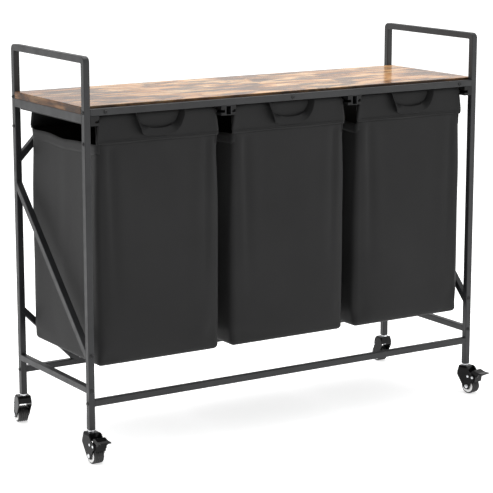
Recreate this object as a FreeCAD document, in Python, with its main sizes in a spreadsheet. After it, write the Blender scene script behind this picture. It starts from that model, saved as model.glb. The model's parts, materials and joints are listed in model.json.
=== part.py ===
import FreeCAD, Part
import math
import os
import re
import Sketcher

from FreeCAD import Placement, Rotation, Vector

# A three-bag laundry cart: two bent-tube side frames with push handles, four long
# rails, a wood shelf board, three fabric bags that hang in slide frames, and four
# swivel casters, the front two with brake pedals.  Millimetres, +Z up, front is -Y,
# the floor is Z = 0 and the origin is under the middle of the cart's outline.

DIMENSIONS = {
    # frame
    "post_span_x": 1069.0,       # post centre to post centre, along the cart
    "post_span_y": 347.0,        # post centre to post centre, front to back
    "middle_y": 14.0,            # the frame's middle, behind the outline's middle
    "board_top": 800.0,
    "handle_rise": 109.0,        # from the shelf to the handle's top
    "handle_top": "=board_top + handle_rise",
    "leg_lift": 4.3,             # from the caster's crown to the post's foot
    "leg_bottom": "=crown_top + leg_lift",
    "tube_size": 15.0,
    "tube_wall": 1.2,
    "tube_corner": 1.6,
    "bend_outer": 13.0,
    "bend_inner": 2.5,
    "lower_rail_z": 134.5,
    "lower_side_z": 164.5,
    "top_rail_drop": 13.0,
    "top_rail_z": "=board_top - top_rail_drop",
    "top_side_height": 20.0,
    "side_brace_rise": 412.0,
    "side_brace_rear_z": "=lower_side_z + side_brace_rise",
    "rear_brace_leg": 133.0,
    "brace_tab_length": 34.0,
    "brace_tab_thick": 1.2,
    "brace_tab_lap": 9.0,
    # shelf
    "board_thick": 16.0,
    "board_gap": 1.6,
    "board_corner": 1.5,
    # slide bars and channels
    "slide_height": 22.0,
    "channel_width": 12.0,
    "end_channel_width": "=(post_span_x - 3*bag_pitch)/2 + channel_width",
    "channel_web": 2.0,
    "groove_height": 6.8,
    "rod_drop": 20.0,
    "rod_z": "=top_rail_z - rod_drop",
    # bags
    "end_margin": 9.5,           # from an end post's centre to the end bag's bay
    "bag_pitch": "=(post_span_x - 2*end_margin)/3",
    "bag_gap": 33.0,
    "bag_width": "=bag_pitch - bag_gap",
    "bag_rear_gap": 8.0,
    "bag_depth": "=post_span_y - tube_size - bag_rear_gap",
    "bag_front_gap": 0.0,        # bag front behind the front rail's back face
    "bag_bottom": 211.0,
    "bag_top_gap": 3.5,          # under the top rails
    "bag_top": "=top_rail_z - tube_size/2 - bag_top_gap",
    "bag_wall": 1.6,
    "bag_corner": 11.0,
    "bag_foot": 9.0,
    "cuff_height": 64.0,
    "cuff_bottom": "=bag_top - cuff_height",
    "cuff_inset": 12.0,
    "cuff_thick": 10.0,
    "cuff_roll": 12.0,
    "side_dip_drop": 4.0,
    "side_dip": "=cuff_bottom - side_dip_drop",
    "rod_diameter": 6.0,
    "rod_bend": 12.0,
    "rod_play": 0.4,
    "base_thick": 3.0,
    "base_gap": 1.0,
    # pull straps
    "strap_thick": 1.6,
    "strap_width": 27.0,
    "strap_top_width": 127.0,
    "strap_low_width": 78.0,
    "strap_drop": 46.0,
    "strap_below_top": 2.0,
    "strap_inner": 0.62,         # inner edge of the U's foot, in strap widths
    "strap_rise": 0.8,
    # casters
    "wheel_radius": 19.5,
    "tyre_inner": 16.0,
    "tyre_width": 26.0,
    "tyre_shoulder": 2.5,
    "hub_width": 25.0,
    "hub_recess": 8.0,
    "hub_recess_outer": 9.5,
    "hub_boss": 5.2,
    "axle_radius": 3.0,
    "axle_cap": 5.0,
    "cap_height": 3.2,
    "running_gap": 0.05,
    "trail": 18.0,
    "fork_inside": 28.6,
    "cheek": 2.5,
    "cheek_below": 7.5,          # how far the cheeks reach below the axle
    "fork_round": 6.0,
    "plain_fork_round": 4.0,
    "fork_clear": 80.0,
    "crown_lift": 12.0,          # from the wheel's top to the crown's underside
    "crown_thick": 18.7,
    "crown_front": 14.0,
    "crown_under": "=2*wheel_radius + crown_lift",
    "crown_top": "=crown_under + crown_thick",
    "stem_radius": 4.0,
    "stem_reach": 22.0,
    "collar_overlap": 0.5,
    "collar_radius": "=tube_size/2 + collar_overlap",
    "collar_bevel": 0.8,
    "stem_head": 6.5,
    "face_gap": 0.3,
    "socket_depth": 26.0,
    "rivet_radius": 2.5,
    "rivet_head": 3.2,
    "rivet_height": 1.4,
    "rivet_a_y": 21.0,
    "rivet_a_lift": 7.0,         # above the wheel's top
    "rivet_a_z": "=2*wheel_radius + rivet_a_lift",
    "rivet_b_y": 35.0,
    "rivet_b_lift": 6.0,
    "rivet_b_z": "=2*wheel_radius + rivet_b_lift",
    "pedal_reach": 66.0,
    "pedal_width": 27.0,
    "pedal_thick": 2.6,
    "pedal_rise": 13.6,
    "pedal_round": 1.2,
    "swivel_front_left": 2.0,
    "swivel_front_right": 13.0,
    "swivel_rear_left": 174.0,
    "swivel_rear_right": 180.0,
    # fasteners
    "bolt_radius": 2.5,
    "bolt_hole_gap": 0.25,
    "bolt_head": 4.6,
    "bolt_head_height": 2.4,
    "bolt_socket": 3.0,
    "bolt_grip": 26.0,
    "joint_bolt_drop": 81.3,
    "joint_bolt_z": "=board_top - joint_bolt_drop",
    "rail_screw_inset": 44.5,
    "rail_screw_x": "=post_span_x/2 - rail_screw_inset",
    "shelf_screw_y": 120.0,
}

doc = FreeCAD.newDocument("LaundryCart")
sheet = doc.addObject("Spreadsheet::Sheet", "Dimensions")
parts = []


def fill_sheet():
    for row, name in enumerate(DIMENSIONS, start=1):
        sheet.set(f"A{row}", name)
        sheet.set(f"B{row}", "0")
        sheet.setAlias(f"B{row}", name)
    doc.recompute()
    for row, value in enumerate(DIMENSIONS.values(), start=1):
        sheet.set(f"B{row}", str(value))
    doc.recompute()


def bound(text):
    """An expression in plain dimension names, with the sheet's name put in."""
    return re.sub(r"[a-z_]+", lambda m: "Dimensions." + m[0] if m[0] in DIMENSIONS else m[0], str(text))


def size(text):
    """The present value of an expression in dimension names."""
    return float(sheet.evalExpression(bound(text)))


def bind(thing, **sizes):
    for name, text in sizes.items():
        thing.setExpression(name, bound(text))


def place(thing, x="0", y="0", z="0", rotation=None):
    """Puts a piece at a place in the cart, counted from the frame's middle."""
    thing.Placement = Placement(Vector(), rotation or Rotation())
    thing.setExpression("Placement.Base.x", bound(x))
    thing.setExpression("Placement.Base.y", bound(f"middle_y + ({y})"))
    thing.setExpression("Placement.Base.z", bound(z))
    return thing


def keep(thing, label):
    thing.Label = label
    parts.append(thing)
    return thing


# ---- sketches and features ----

def new_body(label):
    return doc.addObject("PartDesign::Body", label)


def plane_of(body, role):
    return next(f for f in body.Origin.OriginFeatures if f.Role == role)


def new_sketch(body, role, lift=None):
    sketch = body.newObject("Sketcher::SketchObject", body.Name + "_sketch")
    sketch.AttachmentSupport = (plane_of(body, role), [""])
    sketch.MapMode = "FlatFace"
    if lift:
        for axis, text in zip("xyz", lift):
            sketch.setExpression(f"AttachmentOffset.Base.{axis}", bound(text))
    return sketch


def pin_point(sketch, line, end, **spans):
    """Holds one end of a line at bound distances from the sketch's origin."""
    for kind, text in spans.items():
        index = sketch.addConstraint(Sketcher.Constraint(kind, -1, 1, line, end, size(text)))
        sketch.setExpression(f"Constraints[{index}]", bound(text))


def polygon(body, role, corners, lift=None):
    """A closed outline whose corners are pairs of expressions."""
    sketch = new_sketch(body, role, lift)
    spots = [Vector(size(a), size(b), 0) for a, b in corners]
    count = len(spots)
    for i in range(count):
        sketch.addGeometry(Part.LineSegment(spots[i], spots[(i + 1) % count]), False)
    for i in range(count):
        sketch.addConstraint(Sketcher.Constraint("Coincident", i, 2, (i + 1) % count, 1))
    for i, (across, up) in enumerate(corners):
        pin_point(sketch, i, 1, DistanceX=across, DistanceY=up)
    return sketch


def rectangle(body, role, left, right, low, high, lift=None):
    corners = [(left, low), (right, low), (right, high), (left, high)]
    return polygon(body, role, corners, lift)


def circle(body, role, across, up, radius, lift=None):
    sketch = new_sketch(body, role, lift)
    centre = Vector(size(across), size(up), 0)
    sketch.addGeometry(Part.Circle(centre, Vector(0, 0, 1), size(radius)), False)
    pin_point(sketch, 0, 3, DistanceX=across, DistanceY=up)
    index = sketch.addConstraint(Sketcher.Constraint("Radius", 0, size(radius)))
    sketch.setExpression(f"Constraints[{index}]", bound(radius))
    return sketch


def pad(body, sketch, length, symmetric=False):
    feature = body.newObject("PartDesign::Pad", body.Name + "_pad")
    feature.Profile = sketch
    bind(feature, Length=length)
    feature.Midplane = symmetric
    doc.recompute()
    return feature


def pocket(body, sketch, length=None, symmetric=False, reverse=False):
    before = body.Shape.Volume
    feature = body.newObject("PartDesign::Pocket", body.Name + "_pocket")
    feature.Profile = sketch
    feature.Midplane = symmetric
    feature.Reversed = reverse
    if length is None:
        feature.Type = 1
    else:
        bind(feature, Length=length)
    doc.recompute()
    if body.Shape.Volume >= before - 1e-6:
        raise RuntimeError("a pocket cut nothing in " + body.Label)
    return feature


def revolve(body, sketch, axis="H_Axis"):
    feature = body.newObject("PartDesign::Revolution", body.Name + "_turn")
    feature.Profile = sketch
    feature.ReferenceAxis = (sketch, [axis])
    feature.Angle = 360.0
    doc.recompute()
    return feature


def round_edges(body, radius, wanted):
    """Rounds the body's straight edges that wanted(edge, middle) picks."""
    base = body.Tip
    names = []
    for number, edge in enumerate(base.Shape.Edges, start=1):
        middle = edge.valueAt((edge.FirstParameter + edge.LastParameter) / 2)
        if wanted(edge, middle):
            names.append(f"Edge{number}")
    feature = body.newObject("PartDesign::Fillet", body.Name + "_round")
    feature.Base = (base, names)
    bind(feature, Radius=radius)
    doc.recompute()
    return feature


def runs_along(edge, axis):
    if not isinstance(edge.Curve, Part.Line):
        return False
    return abs(getattr(edge.Curve.Direction, axis)) > 0.999


# ---- tubes ----

ALONG = {
    "x": Rotation(Vector(0, 1, 0), 90),
    "y": Rotation(Vector(1, 0, 0), -90),
    "z": Rotation(),
}


def tube(label, length, height="tube_size"):
    """A straight square or upright rectangular tube along its own Z."""
    body = new_body(label)
    section = rectangle(body, "XY_Plane", f"-{height}/2", f"{height}/2", "-tube_size/2", "tube_size/2")
    pad(body, section, length)
    round_edges(body, "tube_corner", lambda edge, middle: runs_along(edge, "z"))
    inside = f"({height} - 2*tube_wall)/2"
    depth = "(tube_size - 2*tube_wall)/2"
    pocket(body, rectangle(body, "XY_Plane", f"-{inside}", inside, f"-{depth}", depth), reverse=True)
    return body


def side_outline(inset):
    """The bent side frame's upright outline, drawn inset from its outer faces."""
    out = f"(post_span_y/2 + tube_size/2 - {inset})"
    inn = f"(post_span_y/2 - tube_size/2 + {inset})"
    top = f"(handle_top - {inset})"
    under = f"(handle_top - tube_size + {inset})"
    foot = "leg_bottom" if inset == "0" else f"(leg_bottom - {inset})"
    return [
        (f"-{out}", foot), (f"-{out}", top), (out, top), (out, foot),
        (inn, foot), (inn, under), (f"-{inn}", under), (f"-{inn}", foot),
    ]


def round_bends(body, outer, inner):
    top = max(vertex.Z for vertex in body.Shape.Vertexes)
    low = top - body.evalExpression(bound("tube_size / 2"))
    round_edges(body, outer, lambda e, m: runs_along(e, "x") and m.z > top - 0.01)
    round_edges(body, inner, lambda e, m: runs_along(e, "x") and low - 20 < m.z < low)


def side_frame(label, side):
    """One bent tube: the front post, the handle bar and the rear post."""
    body = new_body(label + "_outside")
    pad(body, polygon(body, "YZ_Plane", side_outline("0")), "tube_size", symmetric=True)
    round_bends(body, "bend_outer", "bend_inner")
    half = size("tube_size / 2")
    foot = size("leg_bottom") + 0.1
    round_edges(body, "tube_corner", lambda e, m: abs(abs(m.x) - half) < 1e-4 and m.z > foot)
    bore = new_body(label + "_inside")
    outline = side_outline("tube_wall")
    pad(bore, polygon(bore, "YZ_Plane", outline), "tube_size - 2*tube_wall", symmetric=True)
    round_bends(bore, "bend_outer - tube_wall", "bend_inner + tube_wall")
    for piece in (body, bore):
        place(piece, f"{side}*post_span_x/2")
    cut = doc.addObject("Part::Cut", label)
    cut.Base = body
    cut.Tool = fuse(label + "_openings", [bore] + post_bolt_holes(label, side))
    return keep(cut, label)


def fuse(name, pieces):
    joined = doc.addObject("Part::MultiFuse", name)
    joined.Shapes = pieces
    return joined


def cylinder(name, radius, height, x, y, z, along):
    piece = doc.addObject("Part::Cylinder", name)
    bind(piece, Radius=radius, Height=height)
    return place(piece, x, y, z, ALONG[along])


def block(name, length, width, height, x, y, z):
    piece = doc.addObject("Part::Box", name)
    bind(piece, Length=length, Width=width, Height=height)
    return place(piece, x, y, z)


# where the side diagonal's lower end meets the front post
BRACE_FOOT_Z = "(side_brace_rear_z - post_span_y + tube_size)"


def post_bolt_holes(label, side):
    """Clearance holes right through the posts for the frame bolts."""
    holes = []
    radius = "bolt_radius + bolt_hole_gap"
    through = "tube_size + 4"
    for end in (-1, 1):
        for height in ("lower_rail_z", "top_rail_z", "joint_bolt_z"):
            x = f"{side}*post_span_x/2 - tube_size/2 - 2"
            name = f"{label}_bolt_hole"
            holes.append(cylinder(name, radius, through, x, f"{end}*post_span_y/2", height, "x"))
        y = f"{end}*post_span_y/2 - tube_size/2 - 2"
        x = f"{side}*post_span_x/2"
        holes.append(cylinder(f"{label}_bolt_hole", radius, through, x, y, "lower_side_z", "y"))
        if end < 0:
            holes.append(cylinder(f"{label}_bolt_hole", radius, through, x, y, BRACE_FOOT_Z, "y"))
    return holes


def long_rails():
    length = "post_span_x - tube_size"
    for name, side, height in (
        ("front_top_rail", -1, "top_rail_z"),
        ("rear_top_rail", 1, "top_rail_z"),
        ("front_lower_rail", -1, "lower_rail_z"),
        ("rear_lower_rail", 1, "lower_rail_z"),
    ):
        rail = tube(name + "_tube", length)
        place(rail, f"-({length})/2", f"{side}*post_span_y/2", height, ALONG["x"])
        if name == "front_top_rail":
            rail = with_screw_holes(name, rail)
        keep(rail, name)


def with_screw_holes(name, rail):
    cut = doc.addObject("Part::Cut", name)
    cut.Base = rail
    holes = []
    for x in ("-rail_screw_x", "0", "rail_screw_x"):
        y = "-post_span_y/2 - tube_size/2 - 1"
        holes.append(cylinder(name + "_hole", "bolt_radius", "tube_size/2", x, y, "top_rail_z", "y"))
    cut.Tool = fuse(name + "_holes", holes)
    return cut


def side_rails():
    length = "post_span_y - tube_size"
    for word, side in (("left", -1), ("right", 1)):
        low = tube(f"{word}_lower_side_rail", length)
        place(low, f"{side}*post_span_x/2", f"-({length})/2", "lower_side_z", ALONG["y"])
        keep(low, f"{word}_lower_side_rail")
        high = tube(f"{word}_top_crossbar_tube", length, "top_side_height")
        turn = ALONG["y"].multiply(Rotation(Vector(0, 0, 1), 90))
        z = "board_top - board_thick - top_side_height/2"
        place(high, f"{side}*post_span_x/2", f"-({length})/2", z, turn)
        cut = doc.addObject("Part::Cut", f"{word}_top_crossbar")
        cut.Base = high
        cut.Tool = fuse(f"{word}_crossbar_holes", shelf_screw_holes(side))
        keep(cut, f"{word}_top_crossbar")


def shelf_screw_holes(side):
    holes = []
    for end in (-1, 1):
        z = "board_top - board_thick - top_side_height - 1"
        x = f"{side}*post_span_x/2"
        y = f"{end}*shelf_screw_y"
        holes.append(cylinder("shelf_screw_hole", "bolt_radius", "top_side_height + 2", x, y, z, "z"))
    return holes


# ---- braces ----

def side_braces():
    """A diagonal from the rear post down to the front post, cut to fit between them."""
    span = "(post_span_y - tube_size)"
    for word, side in (("left", -1), ("right", 1)):
        name = f"{word}_side_brace"
        length = f"({span} + 4*tube_size) * sqrt(2)"
        bar = tube(name + "_tube", length)
        turn = Rotation(Vector(1, 0, 0), -45)
        x = f"{side}*post_span_x/2"
        start = f"-({span}/2 + 2*tube_size)"
        place(bar, x, start, f"side_brace_rear_z - {span} - 2*tube_size", turn)
        trims = []
        for end in (-1, 1):
            near = f"{span}/2" if end > 0 else f"-{span}/2 - 4*tube_size"
            z = "side_brace_rear_z - 4*tube_size" if end > 0 else f"side_brace_rear_z - {span} - 4*tube_size"
            trims.append(block(name + "_trim", "2*tube_size", "4*tube_size", "8*tube_size",
                               f"{x} - tube_size", near, z))
        cut = doc.addObject("Part::Cut", name)
        cut.Base = bar
        cut.Tool = fuse(name + "_trims", trims)
        keep(cut, name)


def rear_braces():
    """Four short braces at the corners of the rear frame, each with bolted end tabs."""
    inner = "(post_span_x/2 - tube_size/2)"
    for word, side in (("left", -1), ("right", 1)):
        for level, up in (("upper", 1), ("lower", -1)):
            name = f"rear_{level}_brace_{word}"
            edge = "(top_rail_z - tube_size/2)" if up > 0 else "(lower_rail_z + tube_size/2)"
            rear_brace(name, side, up, inner, edge)


def rear_brace(name, side, up, inner, edge):
    # The bar runs from the post, inwards and towards the rail, at 45 degrees.
    turn = Rotation(Vector(0, 1, 0), -side * (90 - 45 * up))
    spare = "2*tube_size"
    bar = tube(name + "_tube", f"(rear_brace_leg + 2*{spare}) * sqrt(2)")
    start_z = f"{edge} - {up}*(rear_brace_leg + {spare})"
    place(bar, f"{side}*({inner} + {spare})", "post_span_y/2", start_z, turn)
    wide = "8*tube_size"
    long = f"(2*rear_brace_leg + 2*{wide})"
    post_x = inner if side > 0 else f"-({inner}) - {wide}"
    rail_z = edge if up > 0 else f"{edge} - {wide}"
    near_y = "post_span_y/2 - tube_size"
    trims = [
        block(name + "_trim", wide, "2*tube_size", long, post_x, near_y, f"{edge} - {long}/2"),
        block(name + "_trim", long, "2*tube_size", wide, f"{side}*{inner} - {long}/2", near_y, rail_z),
    ]
    cut = doc.addObject("Part::Cut", name + "_bar")
    cut.Base = bar
    cut.Tool = fuse(name + "_trims", trims)
    far = "(rear_brace_leg + brace_tab_lap - brace_tab_length * sqrt(2)/2)"
    tabs = [brace_tab(name, side, up, inner, edge, turn, run) for run in ("-brace_tab_lap", far)]
    keep(fuse(name, [cut] + tabs), name)


def brace_tab(name, side, up, inner, edge, turn, run):
    """A flat end that laps the post or the rail; run is how far inwards it starts."""
    tab = doc.addObject("Part::Box", name + "_tab")
    half = "(tube_size/2 - tube_corner)"
    bind(tab, Length=f"2*{half}", Width="brace_tab_thick", Height="brace_tab_length")
    across = turn.multVec(Vector(-1, 0, 0))
    x = f"{side}*({inner} - {run}) + ({round(across.x, 6)})*{half}"
    z = f"{edge} - {up}*(rear_brace_leg - {run}) + ({round(across.z, 6)})*{half}"
    return place(tab, x, "post_span_y/2 - tube_size/2 - brace_tab_thick", z, turn)


# ---- shelf ----

def shelf_board():
    body = new_body("shelf_board_blank")
    half_x = "(post_span_x + tube_size)/2"
    half_y = "(post_span_y - tube_size)/2 - board_gap"
    sketch = rectangle(body, "XY_Plane", f"-{half_x}", half_x, f"-({half_y})", f"({half_y})")
    pad(body, sketch, "board_thick")
    top = size("board_thick")
    round_edges(body, "board_corner", lambda e, m: m.z > top - 0.01)
    place(body, "0", "0", "board_top - board_thick")
    holes = []
    for side in (-1, 1):
        for end in (-1, 1):
            x = f"{side}*post_span_x/2"
            z = "board_top - board_thick - 1"
            y = f"{end}*shelf_screw_y"
            holes.append(cylinder("board_hole", "bolt_radius", "board_thick*0.65 + 1", x, y, z, "z"))
    cut = doc.addObject("Part::Cut", "shelf_board")
    cut.Base = body
    cut.Tool = fuse("board_holes", holes)
    keep(cut, "shelf_board")


# ---- slide bars and channels ----

def slide_bars():
    length = "post_span_y + tube_size"
    for word, side in (("left", -1), ("right", 1)):
        bar = tube(f"slide_bar_{word}", length, "slide_height")
        turn = ALONG["y"].multiply(Rotation(Vector(0, 0, 1), 90))
        z = "top_rail_z - tube_size/2 - slide_height/2"
        place(bar, f"{side}*bag_pitch/2", f"-({length})/2", z, turn)
        keep(bar, f"slide_bar_{word}")


def channel(label, x, width, facing):
    """A plastic block with a groove for a slide frame's side rod; facing is +1 or -1."""
    body = new_body(label)
    low = "top_rail_z - tube_size/2 - slide_height"
    high = "top_rail_z - tube_size/2"
    far = f"{facing}*({width})"
    web = f"{facing}*({width} - channel_width + channel_web)"
    groove = ("(rod_z - groove_height/2)", "(rod_z + groove_height/2)")
    outline = [
        ("0", low), (far, low), (far, groove[0]), (web, groove[0]),
        (web, groove[1]), (far, groove[1]), (far, high), ("0", high),
    ]
    pad(body, polygon(body, "XZ_Plane", outline), "post_span_y", symmetric=True)
    place(body, x, "-tube_size/2", "0")
    keep(body, label)


def channels():
    half_bar = "tube_size/2"
    inner = "(post_span_x/2 - tube_size/2)"
    channel("slide_channel_a", f"-{inner}", "end_channel_width", 1)
    channel("slide_channel_b", f"-bag_pitch/2 - {half_bar}", "channel_width", -1)
    channel("slide_channel_c", f"-bag_pitch/2 + {half_bar}", "channel_width", 1)
    channel("slide_channel_d", f"bag_pitch/2 - {half_bar}", "channel_width", -1)
    channel("slide_channel_e", f"bag_pitch/2 + {half_bar}", "channel_width", 1)
    channel("slide_channel_f", inner, "end_channel_width", -1)


# ---- bags ----

BAG_MIDDLE_Y = "(-post_span_y/2 + tube_size/2 + bag_front_gap + bag_depth/2)"


def bag_outline(inset, foot, top):
    wide = f"(bag_width/2 - {inset})"
    slim = f"(bag_width/2 - cuff_inset - {inset})"
    return [
        (f"-{wide}", foot), (wide, foot), (wide, "side_dip"), (slim, "cuff_bottom + cuff_inset"),
        (slim, top), (f"-{slim}", top), (f"-{slim}", "cuff_bottom + cuff_inset"), (f"-{wide}", "side_dip"),
    ]


def bag_prism(name, outline, depth, corner, foot, bottom):
    body = new_body(name)
    pad(body, polygon(body, "XZ_Plane", outline), depth, symmetric=True)
    round_edges(body, corner, lambda e, m: runs_along(e, "z") and m.z < size("side_dip"))
    low = size(bottom) + 0.01
    round_edges(body, foot, lambda e, m: m.z < low)
    return body


def bag(number, centre):
    """An open fabric box: front and rear panels reach the rods, the side panels dip."""
    name = f"bag_{number}"
    outer = bag_outline("0", "bag_bottom", "bag_top")
    outside = bag_prism(name + "_outside", outer, "bag_depth", "bag_corner", "bag_foot", "bag_bottom")
    floor = "bag_bottom + bag_wall"
    inner = bag_outline("bag_wall", floor, "bag_top - cuff_roll")
    inside = bag_prism(name + "_inside", inner, "bag_depth - 2*bag_wall",
                       "bag_corner - bag_wall", "bag_foot - bag_wall", floor)
    for body in (outside, inside):
        place(body, centre, BAG_MIDDLE_Y, "0")
    gap = "(bag_depth - 2*cuff_thick)"
    mouth = block(name + "_mouth", "bag_width + 2", gap, "bag_top - cuff_bottom + 1",
                  f"{centre} - bag_width/2 - 1", f"{BAG_MIDDLE_Y} - {gap}/2", "cuff_bottom")
    tools = [inside, mouth]
    for end in (-1, 1):
        y = f"{BAG_MIDDLE_Y} + {end}*(bag_depth/2 - cuff_thick/2)"
        tools.append(cylinder(name + "_rod_hole", "rod_diameter/2 + rod_play/2", "bag_width",
                              f"{centre} - bag_width/2", y, "rod_z", "x"))
    cut = doc.addObject("Part::Cut", name)
    cut.Base = outside
    cut.Tool = fuse(name + "_hollows", tools)
    keep(cut, name)


def rounded_loop(body, half_x, half_y, radius, height):
    """A sketch of a rectangle with round corners, for the wire frame's centre line."""
    sketch = new_sketch(body, "XY_Plane", ("0", "0", height))
    a, b, r = size(half_x), size(half_y), size(radius)
    corners = [(-a, -b), (a, -b), (a, b), (-a, b)]
    turns = [180, 270, 0, 90]
    for i in range(4):
        (x0, y0), (x1, y1) = corners[i], corners[(i + 1) % 4]
        ux, uy = (x1 - x0) / math.hypot(x1 - x0, y1 - y0), (y1 - y0) / math.hypot(x1 - x0, y1 - y0)
        first = Vector(x0 + ux * r, y0 + uy * r, 0)
        last = Vector(x1 - ux * r, y1 - uy * r, 0)
        sketch.addGeometry(Part.LineSegment(first, last), False)
    for i, (x, y) in enumerate(corners):
        centre = Vector(x - math.copysign(r, x), y - math.copysign(r, y), 0)
        start = math.radians(turns[i])
        ring = Part.Circle(centre, Vector(0, 0, 1), r)
        sketch.addGeometry(Part.ArcOfCircle(ring, start, start + math.pi / 2), False)
    for i in range(4):
        sketch.addConstraint(Sketcher.Constraint("Tangent", 4 + i, 2, i, 1))
        sketch.addConstraint(Sketcher.Constraint("Tangent", i, 2, 4 + (i + 1) % 4, 1))
    for i in (0, 2):
        sketch.addConstraint(Sketcher.Constraint("Horizontal", i))
    for i in (1, 3):
        sketch.addConstraint(Sketcher.Constraint("Vertical", i))
    for i in range(3):
        sketch.addConstraint(Sketcher.Constraint("Equal", 4 + i, 5 + i))
    index = sketch.addConstraint(Sketcher.Constraint("Radius", 4, r))
    sketch.setExpression(f"Constraints[{index}]", bound(radius))
    pin_point(sketch, 0, 1, DistanceY=f"-{half_y}")
    pin_point(sketch, 2, 1, DistanceY=half_y)
    pin_point(sketch, 1, 1, DistanceX=half_x)
    pin_point(sketch, 3, 1, DistanceX=f"-{half_x}")
    return sketch


def bag_frame(number, centre):
    """The wire frame that a bag hangs from and slides on."""
    body = new_body(f"slide_frame_{number}")
    half_x = "(bag_pitch/2 - tube_size/2 - channel_web - (channel_width - channel_web)/2 + 0.5)"
    half_y = "(bag_depth/2 - cuff_thick/2)"
    path = rounded_loop(body, half_x, half_y, "rod_bend", "rod_z")
    section = circle(body, "YZ_Plane", f"-{half_y}", "rod_z", "rod_diameter/2")
    doc.recompute()
    pipe = body.newObject("PartDesign::AdditivePipe", body.Name + "_pipe")
    pipe.Profile = section
    pipe.Spine = (path, [f"Edge{i}" for i in range(1, 9)])
    doc.recompute()
    place(body, centre, BAG_MIDDLE_Y, "0")
    keep(body, f"slide_frame_{number}")


def base_board(number, centre):
    body = new_body(f"bag_base_{number}")
    half_x = "(bag_width/2 - bag_foot - base_gap)"
    half_y = "(bag_depth/2 - bag_foot - base_gap)"
    pad(body, rectangle(body, "XY_Plane", f"-{half_x}", half_x, f"-{half_y}", half_y), "base_thick")
    round_edges(body, "bag_corner", lambda e, m: runs_along(e, "z"))
    place(body, centre, BAG_MIDDLE_Y, "bag_bottom + bag_wall")
    keep(body, f"bag_base_{number}")


def strap(number, centre):
    """A band of webbing that hangs in a U on the front of the bag."""
    body = new_body(f"pull_strap_{number}")
    top, low = "strap_top_width/2", "strap_low_width/2"
    high = "bag_top - strap_below_top"
    foot = "(top_rail_z - tube_size/2 - strap_drop)"
    band = "strap_width"
    outline = [
        (f"-{top}", high), (f"-{low}", foot), (low, foot), (top, high),
        (f"{top} - {band}", high), (f"{low} - {band}*strap_inner", f"{foot} + {band}*strap_rise"),
        (f"-({low} - {band}*strap_inner)", f"{foot} + {band}*strap_rise"), (f"-({top} - {band})", high),
    ]
    pad(body, polygon(body, "XZ_Plane", outline), "strap_thick")
    place(body, centre, "-post_span_y/2 + tube_size/2 + bag_front_gap", "0")
    keep(body, f"pull_strap_{number}")


# ---- casters ----

CASTERS = {
    "front_left": (-1, -1), "front_right": (1, -1), "rear_left": (-1, 1), "rear_right": (1, 1),
}

CHEEK_FOOT = [
    ("-trail + 9", "wheel_radius - 5"), ("-trail + 3", "wheel_radius - cheek_below"),
    ("-trail - 5", "wheel_radius - cheek_below"), ("-trail - 9", "wheel_radius"),
]

CHEEK_BRAKED = [
    ("10", "crown_top"), ("13", "crown_top - 8"), ("12.5", "rivet_a_z"), *CHEEK_FOOT,
    ("-trail - 14", "wheel_radius + 12"), ("-rivet_b_y - 4.5", "rivet_b_z - 6"),
    ("-rivet_b_y - 4.5", "rivet_b_z + 4"), ("-rivet_a_y - 6", "rivet_a_z + 9"),
    ("-crown_front", "crown_top"),
]

CHEEK_PLAIN = [
    ("8", "crown_top"), ("11", "crown_top - 6"), ("11", "rivet_a_z"), *CHEEK_FOOT,
    ("-trail - 5", "wheel_radius + 16"), ("-trail - 4", "crown_under - 8"), ("-trail", "crown_top - 4"),
    ("-trail + 4", "crown_top"),
]


def place_caster(body, name):
    side, end = CASTERS[name]
    place(body, f"{side}*post_span_x/2", f"{end}*post_span_y/2", "0",
          Rotation(Vector(0, 0, 1), size("swivel_" + name)))


def fork(name, braked):
    body = new_body(f"{name}_fork")
    wide = "fork_inside + 2*cheek"
    pad(body, polygon(body, "YZ_Plane", CHEEK_BRAKED if braked else CHEEK_PLAIN), wide, symmetric=True)
    half = size(wide) / 2
    shoulder = size("crown_top") - size("fork_round") - 1
    radius = "fork_round" if braked else "plain_fork_round"
    round_edges(body, radius, lambda e, m: abs(abs(m.x) - half) < 0.01 and m.z > shoulder)
    hollow = rectangle(body, "YZ_Plane", "-fork_clear", "fork_clear", "-1", "crown_under")
    pocket(body, hollow, "fork_inside", symmetric=True)
    if braked:
        slot = rectangle(body, "YZ_Plane", "-fork_clear", "-crown_front", "crown_under - 1", "crown_top + 1")
        pocket(body, slot, "fork_inside", symmetric=True)
    pocket(body, circle(body, "XY_Plane", "0", "0", "stem_radius + running_gap"), reverse=True)
    pocket(body, circle(body, "YZ_Plane", "-trail", "wheel_radius", "axle_radius"), symmetric=True)
    pocket(body, circle(body, "YZ_Plane", "-rivet_a_y", "rivet_a_z", "rivet_radius"), symmetric=True)
    if braked:
        pocket(body, circle(body, "YZ_Plane", "-rivet_b_y", "rivet_b_z", "rivet_radius"), symmetric=True)
    place_caster(body, name)
    keep(body, f"{name}_fork")


def pin_body(name, part, y, z, radius, head, height):
    """A pin across the fork with a domed head outside each cheek."""
    body = new_body(f"{name}_{part}")
    face = "(fork_inside/2 + cheek)"
    left, right = f"-{face} - {height}", f"{face} + {height}"
    outline = [
        (left, "0"), (left, f"{head}/2"), (f"-{face} - {height}/2", head), (f"-{face}", head),
        (f"-{face}", radius), (face, radius), (face, head), (f"{face} + {height}/2", head),
        (right, f"{head}/2"), (right, "0"),
    ]
    revolve(body, polygon(body, "XZ_Plane", outline, ("0", z, y)))
    place_caster(body, name)
    return body


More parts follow.
